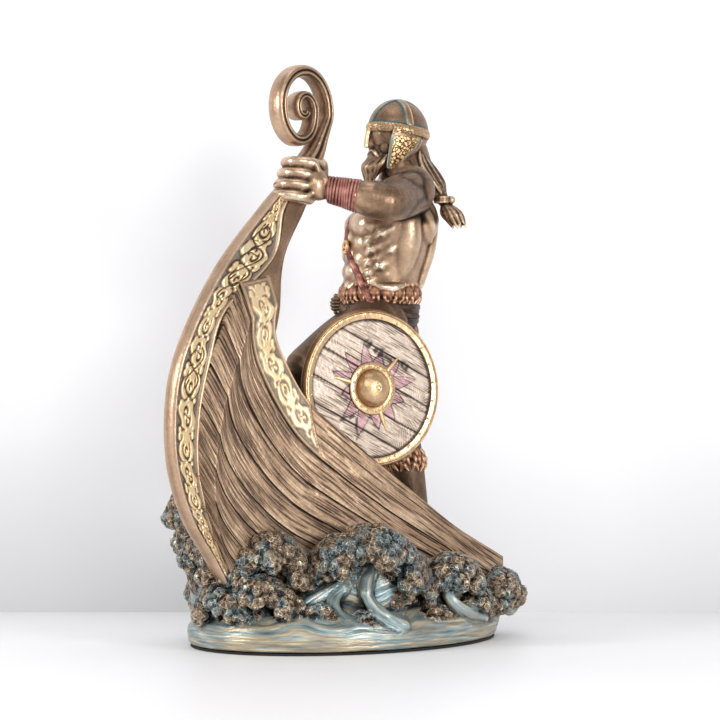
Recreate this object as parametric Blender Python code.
# Bronze figurine of a warrior in the bow of a longship that rises out of breaking waves on an oval base.
# X runs along the ship with the bow towards -X, the port side faces -Y, and Z is up.
# All lengths below are millimetres. MM turns them into metres when a mesh is made.

import math

import bmesh
import bpy
from mathutils import Matrix, Vector

MM = 0.001

# Oval base and the pad under it
BASE_HALF_LENGTH = 79.0
BASE_HALF_WIDTH = 58.0
BASE_BOTTOM = 1.3
BASE_RIM_HEIGHT = 10.0
PAD_THICKNESS = 1.0
PAD_INSET = 1.2
BASE_SIDES = 56

# Ship: breadth and the lines seen from the side, each point being distance along the ship and height
HALF_BREADTH_AT_STEM = 3.1
HALF_BREADTH_AFT = 38.0
BREADTH_START = -70.0
BREADTH_LENGTH = 132.0
BREADTH_FULLNESS = 0.9
RAIL_LINE = (
    (-50, 163), (-54, 141), (-50, 126.5), (-40, 108.5), (-25, 95),
    (-4, 78), (14, 64.8), (35, 50.5), (64, 36),
)
KEEL_LINE = ((-71, 30), (-66, 22), (-56, 14), (-40, 9), (-20, 7), (5, 6), (30, 6), (50, 6), (62, 6))
PLANK_ENDS = (
    (-68, 160), (-76.5, 142), (-84, 125), (-89, 108), (-91, 92),
    (-90.5, 77), (-86.5, 62), (-80.5, 47), (-71, 30),
)
SHEER_SHARE = 0.19
PLANK_SPREAD_AFT = 0.9
PLANK_COUNT = 8
PLANK_LAP = 1.1
HULL_STATIONS = 15
HULL_THICKNESS = 3.2
DECK_HEIGHT_MIDSHIPS = 61.6
DECK_SLOPE = 0.479

# Stem plate: leading edge, bead behind the carved band, and the back edge of the post
STEM_LEADING = (
    (-66, 14), (-81, 38), (-95.5, 58), (-103.8, 80), (-105.3, 102),
    (-101.3, 124), (-89.1, 148), (-73.1, 170), (-51.4, 192), (-36, 206),
)
STEM_BACK = (
    (-50, 14), (-58, 38), (-64, 58), (-68, 80), (-66, 104),
    (-50, 127), (-43, 146), (-40.3, 171), (-28.2, 191.5), (-21, 205),
)
STEM_BAND_WIDTHS = (4.0, 5.8, 11.0, 13.2, 15.4, 17.0, 14.0, 26.0, 10.5, 5.8)
STEM_STATIONS = 18
STEM_HALF_THICKNESS = 3.7
STEM_NOSE = 1.8
BAND_RECESS = 0.7
BAND_RELIEF = 0.75
BAND_MOTIFS = 13
SHEER_MOTIFS = 8

# Scroll at the head of the stem
SCROLL_CENTRE = (-28.2, 236.9)
SCROLL_RADIUS = 18.2
SCROLL_SHRINK_PER_QUARTER = 0.94
SCROLL_STRETCH = 1.17
SCROLL_QUARTERS = 7.6
COIL_START_QUARTER = 4.0
COIL_START_RADIUS = 8.9
COIL_END_RADIUS = 4.0
RIBBON_HALF_WIDTH = 4.3
RIBBON_HALF_THICKNESS = 2.7
COIL_HALF_THICKNESS = 1.85

# Shield
SHIELD_CENTRE = (-6.6, -22.8, 113.2)
SHIELD_RADIUS = 35.2
SHIELD_TURN = math.radians(14)
SHIELD_TILT = math.radians(3)
SHIELD_SIDES = 36
SHIELD_RIM_WIDTH = 4.7
BOSS_FLANGE_RADIUS = 11.8
BOSS_RADIUS = 8.1
BOSS_HEIGHT = 7.4
SPIKE_LENGTH = 8.5
SPIKE_TURNS = (44, 165, 290)

# Warrior: pelvis place, headings in degrees from +X, and the height of the figure
PELVIS = (24.0, 2.1)
BODY_HEADING = 145.2
HEAD_HEADING = 162.0
HEAD_CENTRE = (31.5, -3.2, 229.0)
HELMET_HALF_LENGTH = 14.3
HELMET_HALF_WIDTH = 11.9
HELMET_RIM_HEIGHT = 232.0
HELMET_RIM_DROP = 3.4

# Triangle budgets and grain of the modelled clay
CLAY_GRAIN = 0.9
WAVE_GRAIN = 1.3
FIGURE_TRIANGLES = 2300
WAVE_TRIANGLES = 1750
CRUMB_VERTICES = 60
LOBE_SPACING = 6.0


def along(points, share):
    """A smooth curve through the points, at a share from 0 to 1 of their count."""
    place = min(max(share, 0.0), 1.0) * (len(points) - 1)
    i = min(int(place), len(points) - 2)
    f = place - i
    p1 = Vector(points[i])
    p2 = Vector(points[i + 1])
    p0 = Vector(points[i - 1]) if i > 0 else p1 * 2 - p2
    p3 = Vector(points[i + 2]) if i + 2 < len(points) else p2 * 2 - p1
    a = p1 * 2 + (p2 - p0) * f
    b = (p0 * 2 - p1 * 5 + p2 * 4 - p3) * f * f
    c = (p1 * 3 - p0 - p2 * 3 + p3) * f * f * f
    return (a + b + c) / 2


def blend(low, high, share):
    return low + (high - low) * share


def make_object(name, bm):
    bmesh.ops.recalc_face_normals(bm, faces=bm.faces)
    bmesh.ops.scale(bm, vec=(MM, MM, MM), verts=bm.verts)
    mesh = bpy.data.meshes.new(name)
    bm.to_mesh(mesh)
    bm.free()
    obj = bpy.data.objects.new(name, mesh)
    bpy.context.scene.collection.objects.link(obj)
    return obj


def bake(obj):
    """Replaces the object's mesh by its mesh after modifiers."""
    graph = bpy.context.evaluated_depsgraph_get()
    mesh = bpy.data.meshes.new_from_object(obj.evaluated_get(graph))
    obj.modifiers.clear()
    obj.data = mesh
    return obj


def loft(bm, rings):
    """Joins closed rings of equal count by quads and closes both ends."""
    made = [[bm.verts.new(point) for point in ring] for ring in rings]
    count = len(made[0])
    for one, two in zip(made, made[1:]):
        for i in range(count):
            j = (i + 1) % count
            bm.faces.new((one[i], one[j], two[j], two[i]))
    bm.faces.new(made[0])
    bm.faces.new(made[-1])


def ball(bm, centre, radii, turn=None, finer=2):
    matrix = Matrix.Translation(Vector(centre))
    if turn is not None:
        matrix = matrix @ turn.to_4x4()
    matrix = matrix @ Matrix.Diagonal(Vector(radii)).to_4x4()
    bmesh.ops.create_icosphere(bm, subdivisions=finer, radius=1.0, matrix=matrix)


def tube(bm, path, radii, across=None, sides=10):
    """A tube with rounded ends. Each radius is a number, or a pair for across and the other way."""
    path = [Vector(point) for point in path]
    side = Vector((0.13, 0.31, 0.94))
    rings = []
    poles = []
    last = len(path) - 1
    for i, point in enumerate(path):
        ahead = (path[min(i + 1, last)] - path[max(i - 1, 0)]).normalized()
        if across is not None:
            side = Vector(across)
        side = (side - ahead * side.dot(ahead)).normalized()
        up = ahead.cross(side)
        wide, deep = radii[i] if isinstance(radii[i], tuple) else (radii[i], radii[i])
        steps = [(0.0, 1.0)]
        if i == 0:
            steps = [(-0.72, 0.7), (0.0, 1.0)]
            poles.append(point - ahead * min(wide, deep))
        if i == last:
            steps = [(0.0, 1.0), (0.72, 0.7)]
            poles.append(point + ahead * min(wide, deep))
        for shift, share in steps:
            middle = point + ahead * shift * min(wide, deep)
            ring = []
            for k in range(sides):
                angle = math.tau * k / sides
                round_it = side * wide * math.cos(angle) + up * deep * math.sin(angle)
                ring.append(middle + round_it * share)
            rings.append([bm.verts.new(p) for p in ring])
    for one, two in zip(rings, rings[1:]):
        for k in range(sides):
            m = (k + 1) % sides
            bm.faces.new((one[k], one[m], two[m], two[k]))
    for pole, ring in zip(poles, (rings[0], rings[-1])):
        tip = bm.verts.new(pole)
        for k in range(sides):
            bm.faces.new((tip, ring[k], ring[(k + 1) % sides]))


def fuse_clay(name, bm, grain, triangles, smooth_rounds):
    """One smooth closed body out of overlapping lumps."""
    obj = make_object(name, bm)
    remesh = obj.modifiers.new("Fuse", "REMESH")
    remesh.mode = "VOXEL"
    remesh.voxel_size = grain * MM
    smooth = obj.modifiers.new("Soften", "SMOOTH")
    smooth.factor = 0.5
    smooth.iterations = smooth_rounds
    bake(obj)
    count = sum(len(face.vertices) - 2 for face in obj.data.polygons)
    thin = obj.modifiers.new("Thin", "DECIMATE")
    thin.ratio = triangles / count
    thin.use_collapse_triangulate = True
    return bake(obj)


# Base with breaking waves


def base_ring(inset, height):
    ring = []
    for k in range(BASE_SIDES):
        angle = math.tau * k / BASE_SIDES
        x = (BASE_HALF_LENGTH - inset) * math.cos(angle)
        y = (BASE_HALF_WIDTH - inset) * math.sin(angle)
        ring.append(Vector((x, y, height)))
    return ring


def crest(bm, middle, heading, length, height, roll):
    """A breaking wave: a bank behind, a foam roll curling over in front, and lobes hanging from its lip."""
    out = Vector((math.cos(heading), math.sin(heading), 0))
    side = Vector((-out.y, out.x, 0))
    foot = Vector((middle[0], middle[1], 0))
    bank = []
    ridge = []
    steps = 6
    for i in range(steps + 1):
        share = i / steps - 0.5
        bend = -out * (share * share * length * 0.9)
        low = height * (1 - 1.1 * share * share)
        bank.append(foot - out * roll * 0.75 + side * share * length + bend + Vector((0, 0, low * 0.42)))
        ridge.append(foot + side * share * length + bend + Vector((0, 0, low - roll)))
    tube(bm, bank, [(roll * 0.8, height * 0.42)] * (steps + 1), across=out)
    tube(bm, ridge, [(roll * 1.1, roll * 0.85)] * (steps + 1), across=out)
    lobes = max(2, round(length / LOBE_SPACING))
    for i in range(lobes):
        share = (i + 0.5) / lobes
        place = along(ridge, share)
        swing = 0.5 + 0.5 * math.sin(2.6 * i + middle[0])
        size = roll * (0.42 + 0.16 * swing)
        drop = Vector((0, 0, roll * (0.15 + 0.5 * swing)))
        ball(bm, place + out * roll * (0.75 + 0.2 * swing) - drop, (size, size, size * 1.15))
        top = place + Vector((0, 0, roll * 0.55)) - out * roll * 0.2 * swing
        ball(bm, top, (size * 1.1, size * 1.1, size * 0.8))


# Each crest: place, heading of its face in degrees, length along it, height, radius of the roll
CRESTS = (
    ((-60, -15), 228, 30, 53, 8.0),
    ((-27, -41), 238, 44, 56, 9.0),
    ((22, -46), 268, 36, 41, 7.5),
    ((60, -40), 308, 30, 32, 8.0),
    ((-70, 16), 160, 26, 52, 7.5),
    ((-61, 36), 138, 30, 70, 8.5),
    ((-24, 45), 105, 42, 50, 8.5),
    ((24, 46), 88, 40, 44, 8.0),
    ((60, 26), 40, 30, 38, 7.5),
    ((72, -6), 352, 34, 34, 7.0),
)
# Smaller foam rolls low on the base, given in the same way
RIPPLES = (
    ((-66, -15), 212, 28, 34, 6.5),
    ((-48, -33), 228, 16, 22, 4.5),
    ((-31, -46), 242, 16, 18, 3.6),
    ((-3, -46), 262, 18, 35, 5.5),
    ((6, -51), 268, 26, 18, 3.8),
    ((38, -47), 288, 24, 24, 5.0),
    ((63, -34), 315, 28, 29, 6.5),
    ((-74, 2), 185, 24, 30, 6.0),
    ((-45, 46), 125, 28, 30, 5.5),
    ((0, 53), 92, 30, 18, 4.5),
    ((48, 42), 60, 28, 20, 4.5),
)


def build_waves():
    bm = bmesh.new()
    rings = [base_ring(1.2, BASE_BOTTOM), base_ring(0.0, BASE_BOTTOM + 1.5)]
    rings.append(base_ring(-0.6, BASE_RIM_HEIGHT * 0.7))
    for inset, rise in ((1.5, 1.5), (9.0, 7.0), (22.0, 13.0), (38.0, 19.0)):
        rings.append(base_ring(inset, BASE_RIM_HEIGHT + rise))
    loft(bm, rings)
    for place, heading, length, height, roll in CRESTS + RIPPLES:
        crest(bm, place, math.radians(heading), length, height, roll)
    waves = fuse_clay("waves", bm, WAVE_GRAIN, WAVE_TRIANGLES, 2)
    flat = bmesh.new()
    loft(flat, [base_ring(-30, -20), base_ring(-30, BASE_BOTTOM)])
    cutter = make_object("flat_bottom", flat)
    combine(waves, cutter, "DIFFERENCE")
    return waves


def combine(obj, other, operation):
    """Joins or cuts the object by the other one, which is then removed."""
    change = obj.modifiers.new("Combine", "BOOLEAN")
    change.operation = operation
    change.solver = "EXACT"
    change.object = other
    bake(obj)
    bpy.data.objects.remove(other)
    return obj


# Hull


def half_breadth(x):
    share = min(max((x - BREADTH_START) / BREADTH_LENGTH, 0.0), 1.0)
    swell = math.sin(math.pi / 2 * share**BREADTH_FULLNESS)
    return HALF_BREADTH_AT_STEM + (HALF_BREADTH_AFT - HALF_BREADTH_AT_STEM) * swell


def hull_point(t, v):
    """Outer face of the hull, t from the stem aft and v from the rail down."""
    rail = along(RAIL_LINE, t)
    keel = along(KEEL_LINE, t)
    if v < SHEER_SHARE:
        end = blend(Vector(RAIL_LINE[0]), Vector(PLANK_ENDS[0]), v / SHEER_SHARE)
    else:
        end = along(PLANK_ENDS, (v - SHEER_SHARE) / (1 - SHEER_SHARE))
    flat = blend(rail, keel, 1 - (1 - v) ** (1 + PLANK_SPREAD_AFT * t))
    bulge = end - blend(Vector(RAIL_LINE[0]), Vector(KEEL_LINE[0]), v)
    place = flat + bulge * (1 - t) ** 2.2
    wide = half_breadth(rail.x)
    round_share = max(1 - v**2.3, 0.0) ** 0.8
    wide = HALF_BREADTH_AT_STEM + (wide - HALF_BREADTH_AT_STEM) * round_share
    wide = blend(HALF_BREADTH_AT_STEM, wide, min(1.0, t * 14))
    return Vector((place.x, -wide, place.y))


def hull_normal(t, v):
    step = 0.01
    down = hull_point(t, min(v + step, 1.0)) - hull_point(t, max(v - step, 0.0))
    aft = hull_point(min(t + step, 1.0), v) - hull_point(max(t - step, 0.0), v)
    normal = down.cross(aft)
    if normal.y > 0:
        normal.negate()
    return normal.normalized()


def deck_height(x):
    return DECK_HEIGHT_MIDSHIPS - DECK_SLOPE * x


def deck_share(t):
    """How far down the side the deck meets it."""
    v = 0.02
    while v < 0.6 and hull_point(t, v).z > deck_height(hull_point(t, v).x):
        v += 0.01
    return v


def plank_edges():
    edges = [0.0]
    for i in range(PLANK_COUNT + 1):
        edges.append(SHEER_SHARE + (1 - SHEER_SHARE) * i / PLANK_COUNT)
    return edges


def hull_ring(t, inside_stem):
    """Section of the hull: down the port side in lapped planks, up the other, and round the hollow inside."""
    outer = []
    edges = plank_edges()
    for i in range(len(edges) - 1):
        for v, lap in ((edges[i], 0.0), (edges[i + 1], PLANK_LAP)):
            point = hull_point(t, v)
            if inside_stem:
                point.x -= 3.0
                point.y = -HALF_BREADTH_AT_STEM * 0.7
            else:
                point = point + hull_normal(t, v) * lap
            outer.append(point)
    low = deck_share(t)
    inner = []
    for share in (0.0, 0.5, 1.0):
        point = hull_point(t, low * share)
        thick = min(HULL_THICKNESS, -point.y * 0.6)
        inner.append(Vector((point.x + (1.0 if inside_stem else 0.0), point.y + thick, point.z)))
    port = inner[::-1] + outer
    other = [Vector((p.x, -p.y, p.z)) for p in port]
    return port + other[::-1]


def build_hull():
    bm = bmesh.new()
    rings = [hull_ring(0.0, True)]
    for i in range(HULL_STATIONS):
        share = i / (HULL_STATIONS - 1)
        rings.append(hull_ring(0.012 + 0.988 * share**1.15, False))
    loft(bm, rings)
    bmesh.ops.triangulate(bm, faces=[face for face in bm.faces if len(face.verts) > 4])
    return make_object("hull", bm)


# Stem plate with its carved band, and the scroll


def stem_band(share):
    """Leading edge, bead behind the band, back of the post, and the direction from front to back."""
    lead = along(STEM_LEADING, share)
    back = along(STEM_BACK, share)
    inward = (back - lead).normalized()
    bead = lead + inward * along([(width, 0) for width in STEM_BAND_WIDTHS], share).x
    return lead, bead, back, inward


def stem_ring(share):
    lead, bead, back, inward = stem_band(share)
    band = (bead - lead).length
    half = STEM_HALF_THICKNESS
    ground = half - BAND_RECESS
    edge = min(STEM_NOSE, band * 0.4)
    profile = [
        (lead, 0.25 * half),
        (lead + inward * edge * 0.3, 0.75 * half),
        (lead + inward * edge * 0.75, half),
        (lead + inward * edge, half),
        (lead + inward * edge * 1.25, ground),
        (bead - inward * 1.6, ground),
        (bead - inward * 1.3, half + 0.2),
        (bead, half + 0.2),
        (bead + inward * 0.6, half - 0.3),
        (back - inward * 1.2, half - 0.3),
        (back, 0.6 * half),
    ]
    port = [Vector((p.x, -y, p.y)) for p, y in profile]
    other = [Vector((p.x, y, p.y)) for p, y in profile]
    return port + other[::-1]


def build_stem():
    bm = bmesh.new()
    loft(bm, [stem_ring(i / (STEM_STATIONS - 1)) for i in range(STEM_STATIONS)])
    bmesh.ops.triangulate(bm, faces=[face for face in bm.faces if len(face.verts) > 4])
    return make_object("stem", bm)


def scroll_path():
    """Points of the ribbon's middle line with its half thickness: neck, outer turn and coil."""
    path = [(Vector((-35.5, 198.5)), 8.2), (Vector((-29.5, 206.0)), 6.9), (Vector((-24.0, 212.0)), 5.7)]
    path.append((Vector((-19.6, 218.4)), 4.6))
    path.append((Vector((-16.4, 225.4)), 3.5))
    steps = 34
    for i in range(steps + 1):
        quarters = blend(-0.12, SCROLL_QUARTERS, i / steps)
        outer = SCROLL_RADIUS * SCROLL_SHRINK_PER_QUARTER**quarters
        coiled = max((quarters - COIL_START_QUARTER) / (SCROLL_QUARTERS - COIL_START_QUARTER), 0.0)
        coil = blend(COIL_START_RADIUS, COIL_END_RADIUS, coiled**0.75)
        share = min(max((quarters - 2.7) / 1.3, 0.0), 1.0)
        share = share * share * (3 - 2 * share)
        radius = blend(outer, coil, share)
        thick = blend(RIBBON_HALF_THICKNESS, COIL_HALF_THICKNESS, min(max((quarters - 2.4) / 2.6, 0.0), 1.0))
        angle = math.pi / 2 * quarters
        x = SCROLL_CENTRE[0] + (radius - thick) * math.cos(angle)
        z = SCROLL_CENTRE[1] + (radius - thick) * math.sin(angle) * SCROLL_STRETCH
        path.append((Vector((x, z)), thick))
    return path


def build_scroll():
    bm = bmesh.new()
    path = scroll_path()
    rings = []
    profile = ((1.0, 0.0), (0.9, 0.62), (0.45, 1.0), (-0.05, 0.86), (-0.5, 1.0), (-1.0, 0.6))
    for i, (point, thick) in enumerate(path):
        ahead = (path[min(i + 1, len(path) - 1)][0] - path[max(i - 1, 0)][0]).normalized()
        out = Vector((ahead.y, -ahead.x))
        ring = []
        for across, wide in profile:
            place = point + out * across * thick
            ring.append(Vector((place.x, -wide * RIBBON_HALF_WIDTH, place.y)))
        for across, wide in profile[:0:-1]:
            place = point + out * across * thick
            ring.append(Vector((place.x, wide * RIBBON_HALF_WIDTH, place.y)))
        rings.append(ring)
    loft(bm, rings)
    return make_object("scroll", bm)


def plate(bm, centre, ahead, side, normal, length, width, sink, rise):
    """A raised pear-shaped plate of eight sides."""
    top = []
    bottom = []
    for k in range(8):
        angle = math.tau * (k + 0.5) / 8
        taper = 1 - 0.3 * math.cos(angle)
        place = centre + ahead * length * math.cos(angle) + side * width * taper * math.sin(angle)
        top.append(bm.verts.new(place + normal * rise))
        bottom.append(bm.verts.new(place - normal * sink))
    for k in range(8):
        m = (k + 1) % 8
        bm.faces.new((top[k], top[m], bottom[m], bottom[k]))
    bm.faces.new(top)
    bm.faces.new(bottom)


def even_shares(curve, start, end, count):
    """Shares of a curve that cut the stretch from start to end into equal lengths, at the middle of each."""
    fine = 200
    shares = [blend(start, end, i / fine) for i in range(fine + 1)]
    lengths = [0.0]
    for one, two in zip(shares, shares[1:]):
        lengths.append(lengths[-1] + (curve(two) - curve(one)).length)
    found = []
    for k in range(count):
        wanted = lengths[-1] * (k + 0.5) / count
        i = max(j for j in range(fine + 1) if lengths[j] <= wanted)
        found.append(shares[i])
    return found, lengths[-1] / count


def band_middle(share):
    lead, bead, back, inward = stem_band(share)
    edge = min(STEM_NOSE, (bead - lead).length * 0.4) * 1.25
    width = ((bead - lead).length - edge - 1.6) * 0.5
    middle = lead + inward * (edge + width)
    return Vector((middle.x, -(STEM_HALF_THICKNESS - BAND_RECESS), middle.y)), width


def build_band(side_sign):
    """Chain of raised plates up the stem and down the sheer plank, on one side of the ship."""
    bm = bmesh.new()
    normal = Vector((0, -1, 0))
    shares, pitch = even_shares(lambda share: band_middle(share)[0], 0.13, 0.93, BAND_MOTIFS)
    for i, share in enumerate(shares):
        place, width = band_middle(share)
        ahead = (band_middle(share + 0.02)[0] - place).normalized()
        across = Vector((-ahead.z, 0, ahead.x))
        slant = abs(across.x)
        sign = 1 if i % 2 else -1
        plate(bm, place, ahead * sign, across, normal, pitch * 0.44, width * 0.68 * slant, 0.8, BAND_RELIEF)
    v = SHEER_SHARE * 0.52
    shares, pitch = even_shares(lambda t: hull_point(t, v), 0.05, 0.40, SHEER_MOTIFS)
    for i, t in enumerate(shares):
        place = hull_point(t, v)
        normal = hull_normal(t, v)
        ahead = (hull_point(t + 0.01, v) - place).normalized()
        across = normal.cross(ahead).normalized()
        sign = 1 if i % 2 else -1
        place = place + normal * PLANK_LAP * 0.5
        plate(bm, place, ahead * sign, across, normal, pitch * 0.44, 3.2, 1.4, BAND_RELIEF)
    if side_sign > 0:
        bmesh.ops.scale(bm, vec=(1, -1, 1), verts=bm.verts)
    return make_object("band", bm)


# Shield


def shield_frame():
    out = Vector((-math.sin(SHIELD_TURN), -math.cos(SHIELD_TURN), 0)) * math.cos(SHIELD_TILT)
    out = out + Vector((0, 0, math.sin(SHIELD_TILT)))
    right = Vector((0, 0, 1)).cross(out).normalized()
    up = out.cross(right).normalized()
    return Vector(SHIELD_CENTRE), right, up, out


def build_shield():
    bm = bmesh.new()
    centre, right, up, out = shield_frame()
    board = SHIELD_RADIUS - SHIELD_RIM_WIDTH
    profile = [(SHIELD_RADIUS - 1.6, -1.8), (SHIELD_RADIUS, -0.6), (SHIELD_RADIUS - 0.3, 1.2)]
    profile += [(SHIELD_RADIUS - 1.9, 2.3), (board + 0.6, 2.1), (board, 0.9)]
    profile += [(BOSS_FLANGE_RADIUS, 1.0), (BOSS_FLANGE_RADIUS - 0.3, 2.2), (BOSS_RADIUS + 0.3, 2.2)]
    profile += [(BOSS_RADIUS, 3.4), (BOSS_RADIUS * 0.82, 5.4), (BOSS_RADIUS * 0.45, 6.9)]
    rings = []
    for radius, height in profile:
        ring = []
        for k in range(SHIELD_SIDES):
            angle = math.tau * k / SHIELD_SIDES
            place = centre + right * radius * math.cos(angle) + up * radius * math.sin(angle) + out * height
            ring.append(bm.verts.new(place))
        rings.append(ring)
    back = bm.verts.new(centre - out * 1.8)
    front = bm.verts.new(centre + out * BOSS_HEIGHT)
    for k in range(SHIELD_SIDES):
        m = (k + 1) % SHIELD_SIDES
        for one, two in zip(rings, rings[1:]):
            bm.faces.new((one[k], one[m], two[m], two[k]))
        bm.faces.new((back, rings[0][k], rings[0][m]))
        bm.faces.new((front, rings[-1][k], rings[-1][m]))
    shield = make_object("shield", bm)
    spikes = bmesh.new()
    for turn in SPIKE_TURNS:
        angle = math.radians(turn)
        ray = right * math.cos(angle) + up * math.sin(angle)
        side = out.cross(ray)
        foot = centre + ray * (BOSS_FLANGE_RADIUS - 1.0)
        corners = [foot + side * 1.3 + out * 0.2, foot + out * 2.3, foot - side * 1.3 + out * 0.2]
        tip = centre + ray * (BOSS_FLANGE_RADIUS + SPIKE_LENGTH)
        ends = [tip + side * 0.25 + out * 0.2, tip + out * 1.4, tip - side * 0.25 + out * 0.2]
        loft(spikes, [corners, ends])
    return combine(shield, make_object("spikes", spikes), "UNION")


# Warrior


def heading_frame(degrees):
    angle = math.radians(degrees)
    ahead = Vector((math.cos(angle), math.sin(angle), 0))
    left = Vector((-ahead.y, ahead.x, 0))
    return ahead, left


def body(ahead_by, left_by, height):
    ahead, left = heading_frame(BODY_HEADING)
    return Vector((PELVIS[0], PELVIS[1], height)) + ahead * ahead_by + left * left_by


def head(ahead_by, left_by, height):
    ahead, left = heading_frame(HEAD_HEADING)
    return Vector((HEAD_CENTRE[0], HEAD_CENTRE[1], height)) + ahead * ahead_by + left * left_by


# Torso sections: height, lean ahead of the pelvis, half width, half depth
TORSO = (
    (136, 0.0, 16.0, 14.5),
    (146, 0.0, 17.5, 16.5),
    (156, -0.3, 16.5, 17.0),
    (166, -1.6, 18.0, 17.6),
    (178, -3.6, 21.5, 19.2),
    (188, -5.4, 23.5, 18.6),
    (196, -7.0, 22.0, 15.5),
    (202, -8.2, 15.0, 11.0),
)


def torso_at(height):
    share = 0.0
    for i in range(len(TORSO) - 1):
        if TORSO[i][0] <= height <= TORSO[i + 1][0]:
            share = (i + (height - TORSO[i][0]) / (TORSO[i + 1][0] - TORSO[i][0])) / (len(TORSO) - 1)
    lean = along([row[1:3] for row in TORSO], share)
    depth = along([(row[3], 0) for row in TORSO], share).x
    return lean.x, lean.y, depth


def on_torso(degrees, height, off=0.0):
    """A point on the torso's skin, degrees being counted from ahead to the left."""
    lean, wide, deep = torso_at(height)
    angle = math.radians(degrees)
    return body(lean + (deep + off) * math.cos(angle), (wide + off) * math.sin(angle), height)


def add_torso(bm):
    ahead, left = heading_frame(BODY_HEADING)
    path = []
    radii = []
    for i in range(15):
        height = blend(TORSO[0][0], TORSO[-1][0], i / 14)
        lean, wide, deep = torso_at(height)
        path.append(body(lean, 0, height))
        radii.append((wide, deep))
    tube(bm, path, radii, across=left, sides=20)
    turn = Matrix.Rotation(math.radians(BODY_HEADING), 3, "Z")
    # Chest, shoulder blades, the broad back muscles and the stomach
    for side in (1, -1):
        ball(bm, body(3.2, 9.0 * side, 187), (11.5, 11, 8.5), turn)
        ball(bm, body(-16.5, 10.0 * side, 189), (9, 9, 12), turn)
        back = [body(-10, 19 * side, 190), body(-9, 18.5 * side, 178), body(-6, 13 * side, 163)]
        tube(bm, back, [6.0, 5.5, 3.5])
        front = [body(14, 5.5 * side, 178), body(15.5, 5.2 * side, 168), body(15.5, 4.8 * side, 158)]
        tube(bm, front, [4.2, 4.0, 3.6])
        nape = [body(-8.5, 4 * side, 214), body(-10, 12 * side, 206), body(-10, 20 * side, 203)]
        tube(bm, nape, [6.5, 6.5, 6.0])


def add_left_arm(bm):
    shoulder = Vector((18.5, -21.5, 200.5))
    elbow = Vector((-7.5, -33.5, 195.0))
    wrist = Vector((-22.5, -12.5, 201.0))
    ball(bm, shoulder + Vector((0.5, -1.5, 1.5)), (11.5, 10.5, 11.5))
    tube(bm, [shoulder, blend(shoulder, elbow, 0.55), elbow], [10.0, 10.0, 7.6])
    tube(bm, [elbow, blend(elbow, wrist, 0.3), blend(elbow, wrist, 0.75), wrist], [8.0, 8.8, 6.6, 5.4])
    # Wrist winding
    tube(bm, [blend(elbow, wrist, 0.5), wrist], [8.2, 6.1], sides=14)
    # Hand: palm on the port face of the stem, fingers round its leading edge
    palm = Vector((-30.5, -8.2, 204.5))
    ball(bm, Vector((-35.0, 0.5, 204.0)), (9.5, 5.5, 9.0))
    ball(bm, blend(wrist, palm, 0.5), (7, 4.6, 7.5))
    ball(bm, palm, (8.5, 4.2, 8.5))
    for i in range(4):
        height = 212.5 - 5.0 * i
        lead = -30.0 - 2.2 * i
        path = [Vector((lead + 6.0, -8.0, height - 1.0)), Vector((lead - 0.5, -7.6, height))]
        path += [Vector((lead - 4.6, -3.2, height + 0.6)), Vector((lead - 4.4, 2.2, height + 0.6))]
        path.append(Vector((lead - 1.0, 6.4, height + 0.4)))
        tube(bm, path, [2.9, 3.0, 2.7, 2.5, 2.3], sides=8)
    thumb = [Vector((-23.5, -9.0, 207)), Vector((-18.0, -3.0, 213)), Vector((-17.5, 3.5, 214))]
    tube(bm, thumb, [3.2, 2.9, 2.4], sides=8)


def add_right_arm(bm):
    shoulder = body(-8.5, -22.0, 200)
    elbow = body(-12.5, -28.0, 168)
    fist = body(3.0, -20.5, 147)
    ball(bm, shoulder, (11, 11, 11.5))
    tube(bm, [shoulder, blend(shoulder, elbow, 0.5), elbow], [9.5, 9.0, 7.0])
    tube(bm, [elbow, blend(elbow, fist, 0.35), fist], [7.2, 7.8, 5.2])
    ball(bm, fist, (6.0, 6.0, 6.5))


def add_legs(bm):
    # Left leg is bent with the foot forward on the sloping deck, the right one stands straight behind
    hip = body(2.0, 8.5, 142)
    knee = Vector((-24.5, -0.5, 122.5))
    ankle = Vector((-24.5, 4.0, 84.0))
    tube(bm, [hip, blend(hip, knee, 0.5) + Vector((0, 0, 1.0)), knee], [14.5, 12.5, 9.5])
    tube(bm, [knee, blend(knee, ankle, 0.4), ankle], [9.0, 8.0, 6.0])
    tube(bm, [ankle + Vector((3, 0, -4)), Vector((-41, 4.5, 86.5))], [(6.2, 6.5), (5.0, 4.0)])
    hip = body(-1.5, -9.0, 142)
    knee = Vector((41.0, 7.5, 98.0))
    ankle = Vector((50.0, 3.5, 48.0))
    tube(bm, [hip, blend(hip, knee, 0.5), knee], [14.5, 12.5, 9.0])
    tube(bm, [knee, blend(knee, ankle, 0.35), ankle], [9.0, 9.0, 6.5])
    ball(bm, blend(knee, ankle, 0.36), (9.6, 9.6, 5.0))
    tube(bm, [ankle + Vector((2, 0, -6)), Vector((30.0, 9.0, 52.5))], [(6.5, 6.5), (5.5, 4.5)])
    # Leg winding under the fur cuff
    for i in range(3):
        middle = blend(knee, ankle, 0.5 + 0.14 * i)
        ball(bm, middle, (9.0 - 0.5 * i, 9.0 - 0.5 * i, 3.6))


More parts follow.
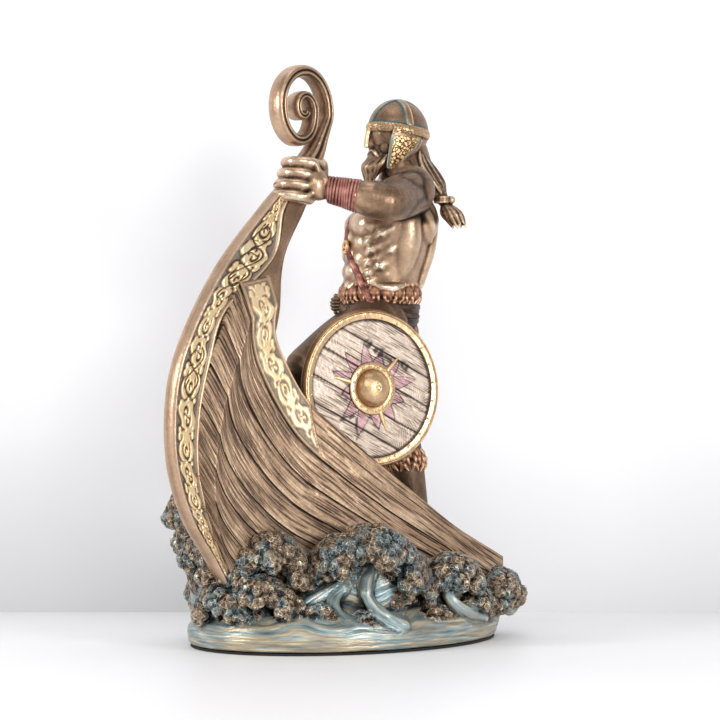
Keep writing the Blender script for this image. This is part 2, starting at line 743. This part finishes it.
def add_belt(bm):
    ahead, left = heading_frame(BODY_HEADING)
    for height, off, thick in ((157.5, 1.0, 3.6), (150.0, 0.9, 2.4)):
        lumps = 28
        for k in range(lumps):
            place = on_torso(360 * k / lumps, height + 0.6 * math.sin(5 * k), off)
            ball(bm, place, (thick * 1.1, thick * 1.1, thick), finer=1)
    # Skirt of the tunic below the belt
    tube(bm, [body(0, 0, 148), body(0.5, 0, 138)], [(18.6, 17.6), (19.4, 18.2)], across=left, sides=18)
    # Strap over the chest with its buckle
    strap = [on_torso(-70, 198, 0.3), on_torso(-25, 193, 0.6), on_torso(4, 184, 0.8)]
    strap += [on_torso(20, 174, 0.8), on_torso(42, 164, 0.9), on_torso(66, 153, 2.0)]
    tube(bm, strap, [(1.2, 2.4)] * 6, sides=8)
    ball(bm, on_torso(12, 177, 1.2), (2.4, 2.4, 2.9))
    # Sword hilt at the left hip with a lobed pommel
    grip = [body(12, 20, 143), body(19, 16.0, 148.5), body(22.0, 14.5, 151.0)]
    tube(bm, grip, [2.2, 2.1, 2.3], sides=8)
    for turn in (-1, 0, 1):
        lobe = grip[-1] + ahead * (1.0 - 0.6 * abs(turn)) + left * turn * 1.6
        ball(bm, lobe + Vector((0, 0, 2.2 * turn)), (2.5, 2.5, 2.9))


def add_head(bm):
    ahead, left = heading_frame(HEAD_HEADING)
    turn = Matrix.Rotation(math.radians(HEAD_HEADING), 3, "Z")
    tube(bm, [body(-9, 0, 200), head(-2, 0, 218)], [10.5, 9.5])
    # Skull, face, brow, nose and cheeks
    ball(bm, head(0.5, 0, 229.5), (14.2, 11.6, 14.4), turn, 3)
    ball(bm, head(3.5, 0, 222.5), (10.4, 9.0, 11.0), turn, 3)
    tube(bm, [head(12.6, 0, 229), head(14.8, 0, 223.5)], [1.7, 2.4], sides=8)
    # Helmet rim, nose guard and cheek guards
    rim = []
    for k in range(25):
        angle = math.tau * k / 24
        drop = HELMET_RIM_DROP * math.sin(angle / 2) ** 2
        ahead_by = 0.5 + HELMET_HALF_LENGTH * math.cos(angle)
        rim.append(head(ahead_by, HELMET_HALF_WIDTH * math.sin(angle), HELMET_RIM_HEIGHT - drop))
    tube(bm, rim, [(1.0, 2.2)] * 25, sides=8)
    guard = [head(HELMET_HALF_LENGTH + 0.7, 0, HELMET_RIM_HEIGHT + 1)]
    guard += [head(HELMET_HALF_LENGTH + 1.9, 0, HELMET_RIM_HEIGHT - 4)]
    guard += [head(HELMET_HALF_LENGTH + 2.9, 0, HELMET_RIM_HEIGHT - 9.5)]
    tube(bm, guard, [(1.9, 1.1)] * 3, across=left, sides=8)
    for side in (1, -1):
        guard = [head(2.0, 10.9 * side, 228.5), head(4.5, 10.2 * side, 222.0), head(8.6, 8.4 * side, 213.0)]
        tube(bm, guard, [(7.6, 1.6), (6.6, 1.7), (2.6, 1.6)], across=ahead, sides=12)
    # Crossing bands over the helmet
    for along_head in (True, False):
        arch = []
        for i in range(13):
            angle = math.pi * (i + 0.5) / 13
            reach = math.cos(angle)
            height = HELMET_RIM_HEIGHT - 1.6 + (HELMET_HALF_LENGTH - 0.1) * math.sin(angle)
            if along_head:
                arch.append(head(0.5 + (HELMET_HALF_LENGTH - 0.2) * reach, 0, height))
            else:
                arch.append(head(0.5, (HELMET_HALF_WIDTH - 0.4) * reach, height))
        tube(bm, arch, [(1.9, 0.9)] * 13, across=left if along_head else ahead, sides=8)
    # Beard
    beard = [head(9.5, 0, 219), head(14.0, 0, 214.5), head(16.0, 0, 209.5), head(15.0, 0, 204.5)]
    tube(bm, beard, [(7.0, 6.5), (6.6, 5.5), (5.0, 4.0), (2.6, 2.2)], across=left)
    # Hair down the nape to a knotted tail
    hair = [head(-6, 1, 220), body(-18, 5, 212), body(-24, 8, 205), body(-27.0, 9.5, 199.5)]
    tube(bm, hair, [8.0, 6.0, 4.6, 3.2])
    ball(bm, body(-28.5, 10, 198.5), (3.6, 3.6, 3.2))
    tail = [body(-28.5, 10, 197), body(-31.5, 10.5, 192), body(-35.5, 11, 187.5)]
    tube(bm, tail, [3.2, 4.6, 3.8])
    for side in (1, -1):
        lock = [head(-6, 6.5 * side, 218), body(-14, 9 * side, 209), body(-20, 10 * side, 203)]
        tube(bm, lock, [4.0, 4.6, 3.4])


def build_figure():
    bm = bmesh.new()
    add_torso(bm)
    add_left_arm(bm)
    add_right_arm(bm)
    add_legs(bm)
    add_belt(bm)
    add_head(bm)
    return fuse_clay("figure", bm, CLAY_GRAIN, FIGURE_TRIANGLES, 1)


# Assembly


def finish_material(name, colour, roughness):
    material = bpy.data.materials.new(name)
    material.use_nodes = True
    shader = material.node_tree.nodes["Principled BSDF"]
    shader.inputs["Base Color"].default_value = (*colour, 1)
    shader.inputs["Metallic"].default_value = 0.6
    shader.inputs["Roughness"].default_value = roughness
    return material


def drop_crumbs(obj):
    """Removes slivers that came loose where two bodies only graze each other."""
    bm = bmesh.new()
    bm.from_mesh(obj.data)
    seen = set()
    crumbs = []
    for start in bm.verts:
        if start in seen:
            continue
        seen.add(start)
        group = [start]
        for vert in group:
            for edge in vert.link_edges:
                other = edge.other_vert(vert)
                if other not in seen:
                    seen.add(other)
                    group.append(other)
        if len(group) < CRUMB_VERTICES:
            crumbs.extend(group)
    bmesh.ops.delete(bm, geom=crumbs, context="VERTS")
    bm.to_mesh(obj.data)
    bm.free()


for obj in list(bpy.data.objects):
    bpy.data.objects.remove(obj)

statue = build_waves()
statue.name = "statue"
ship = (build_hull(), build_stem(), build_scroll(), build_band(-1), build_band(1))
for piece in ship + (build_shield(), build_figure()):
    combine(statue, piece, "UNION")
drop_crumbs(statue)
statue.data.materials.clear()
statue.data.materials.append(finish_material("bronze_finish", (0.30, 0.19, 0.11), 0.45))

pad_bm = bmesh.new()
loft(pad_bm, [base_ring(PAD_INSET, 0.0), base_ring(PAD_INSET, PAD_THICKNESS)])
base_pad = make_object("base_pad", pad_bm)
base_pad.data.materials.append(finish_material("dark_pad", (0.02, 0.02, 0.02), 0.8))
base_pad.data.materials[0].node_tree.nodes["Principled BSDF"].inputs["Metallic"].default_value = 0.0

# The origin goes under the middle of the whole casting
ends = [[corner[axis] for corner in statue.bound_box] for axis in range(2)]
middle = Vector([-(min(values) + max(values)) / 2 for values in ends] + [0])
for node in (statue, base_pad):
    node.data.transform(Matrix.Translation(middle))
